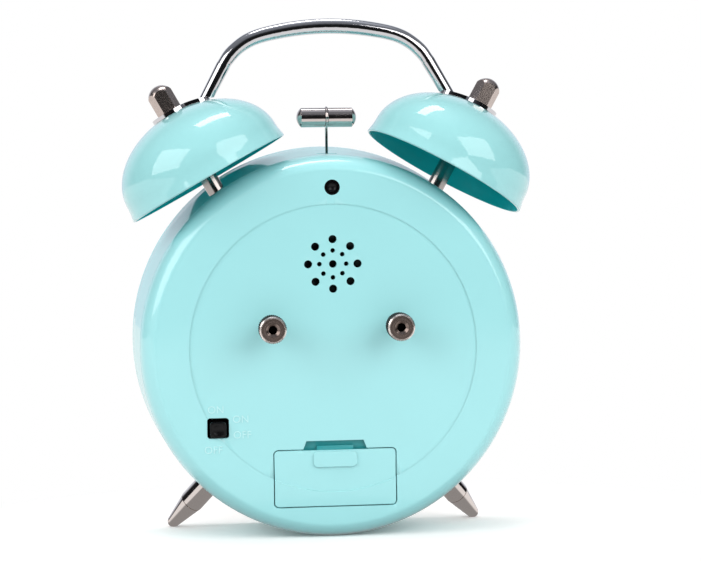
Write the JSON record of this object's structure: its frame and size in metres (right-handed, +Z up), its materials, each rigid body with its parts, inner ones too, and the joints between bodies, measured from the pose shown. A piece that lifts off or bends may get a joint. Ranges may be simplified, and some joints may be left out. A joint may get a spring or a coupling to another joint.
{
  "type": "twin-bell alarm clock",
  "caption": "Round standing alarm clock with twin bells, a hammer between them, a carrying handle, rear knobs, a slide switch, a battery door and splayed feet.",
  "frame": {"origin": "middle of the bounding box, on the surface that the clock stands on", "axes": "+Z up, +Y out of the rear cover, dial towards -Y, +X towards the slide switch"},
  "size_m": [0.1262, 0.0618, 0.1595],
  "materials": {
    "mint_enamel": "gloss enamel",
    "mint_plastic": "smooth moulded ABS",
    "chrome": "polished",
    "nickel": "turned and nickel plated",
    "steel": "zinc plated",
    "brass": "turned",
    "copper": "enamelled wire",
    "black_plastic": "moulded",
    "white_plastic": "moulded",
    "tin": "tin plated",
    "dial_white": "matt printed",
    "hand_black": "satin",
    "hand_red": "satin",
    "clear": "clear",
    "cell_wrap": "printed sleeve"
  },
  "bodies": {
    "case": {"battery_cell": "cell_wrap", "battery_tray": "black_plastic", "bell_left": "mint_enamel", "bell_right": "mint_enamel", "bell_sleeve_left": "nickel", "bell_sleeve_right": "nickel", "bell_stud_left": "steel", "bell_stud_right": "steel", "buzzer_cup": "tin", "buzzer_diaphragm": "black_plastic", "cap_nuts": "nickel", "case_drum": "mint_enamel", "coil_core": "steel", "contact_plate": "steel", "contact_spring": "steel", "dial": "dial_white", "dial_lamp": "clear", "foot_left": "nickel", "foot_right": "nickel", "front_bezel": "mint_enamel", "hammer_bracket": "steel", "hammer_coil": "copper", "hammer_pin": "steel", "handle": "chrome", "inner_frame": "white_plastic", "inner_nuts": "steel", "inner_washers": "steel", "lens": "clear", "light_bush": "black_plastic", "light_switch": "black_plastic", "movement_case": "white_plastic", "movement_lid": "white_plastic", "rear_cover": "mint_plastic", "spacer_ring": "white_plastic", "switch_body": "black_plastic"},
    "time_setter": {"time_knob": "nickel", "time_stem": "nickel"},
    "minute": {"minute_hand": "hand_black", "minute_tube": "brass"},
    "hour": {"hour_hand": "hand_black", "hour_tube": "brass"},
    "alarm_setter": {"alarm_knob": "nickel", "alarm_stem": "nickel"},
    "alarm": {"alarm_hand": "hand_red", "alarm_tube": "brass"},
    "second": {"second_hand": "hand_black", "second_pin": "steel"},
    "hammer": {"hammer_head": "chrome", "hammer_wire": "chrome", "hammer_lever": "steel", "armature": "steel"},
    "slider": {"switch_slider": "black_plastic"},
    "button": {"light_button": "black_plastic"},
    "door": {"battery_door": "mint_plastic"}
  },
  "joints": [
    {"name": "time_knob_turn", "type": "hinge", "parent": "case", "child": "time_setter", "pos_m": [-0.0192, 0.02894, 0.06426], "axis": [0, 0.9977, -0.0684], "continuous": true},
    {"name": "minute_hand_turn", "type": "hinge", "parent": "case", "child": "minute", "pos_m": [0, -0.01993, 0.06054], "axis": [0, 0.9977, -0.0684], "continuous": true},
    {"name": "hour_hand_turn", "type": "hinge", "parent": "case", "child": "hour", "pos_m": [0, -0.01993, 0.06054], "axis": [0, 0.9977, -0.0684], "continuous": true},
    {"name": "alarm_knob_turn", "type": "hinge", "parent": "case", "child": "alarm_setter", "pos_m": [0.0192, 0.02894, 0.06426], "axis": [0, 0.9977, -0.0684], "continuous": true},
    {"name": "alarm_hand_turn", "type": "hinge", "parent": "case", "child": "alarm", "pos_m": [0, -0.01993, 0.06054], "axis": [0, 0.9977, -0.0684], "continuous": true},
    {"name": "second_hand_turn", "type": "hinge", "parent": "case", "child": "second", "pos_m": [0, -0.01993, 0.06054], "axis": [0, 0.9977, -0.0684], "continuous": true},
    {"name": "hammer_swing", "type": "hinge", "parent": "case", "child": "hammer", "pos_m": [0, 0.00367, 0.10503], "axis": [0, 0.9977, -0.0684], "range_deg": [-10.6, 10.6], "stiffness_Nm_per_rad": 0.02},
    {"name": "switch_slide", "type": "slide", "parent": "case", "child": "slider", "axis": [0, 0.0684, 0.9977], "range_m": [0, 0.0009]},
    {"name": "light_press", "type": "slide", "parent": "case", "child": "button", "axis": [0, -0.9977, 0.0684], "range_m": [0, 0.0008], "stiffness_N_per_m": 200},
    {"name": "battery_door_swing", "type": "hinge", "parent": "case", "child": "door", "pos_m": [0, 0.01318, 0.00986], "axis": [-1, 0, 0], "range_deg": [0, 70]}
  ],
  "couplings": [
    {"joint": "minute_hand_turn", "follows": "time_knob_turn", "ratio": -1},
    {"joint": "hour_hand_turn", "follows": "time_knob_turn", "ratio": -0.083333},
    {"joint": "alarm_hand_turn", "follows": "alarm_knob_turn", "ratio": -1}
  ]
}
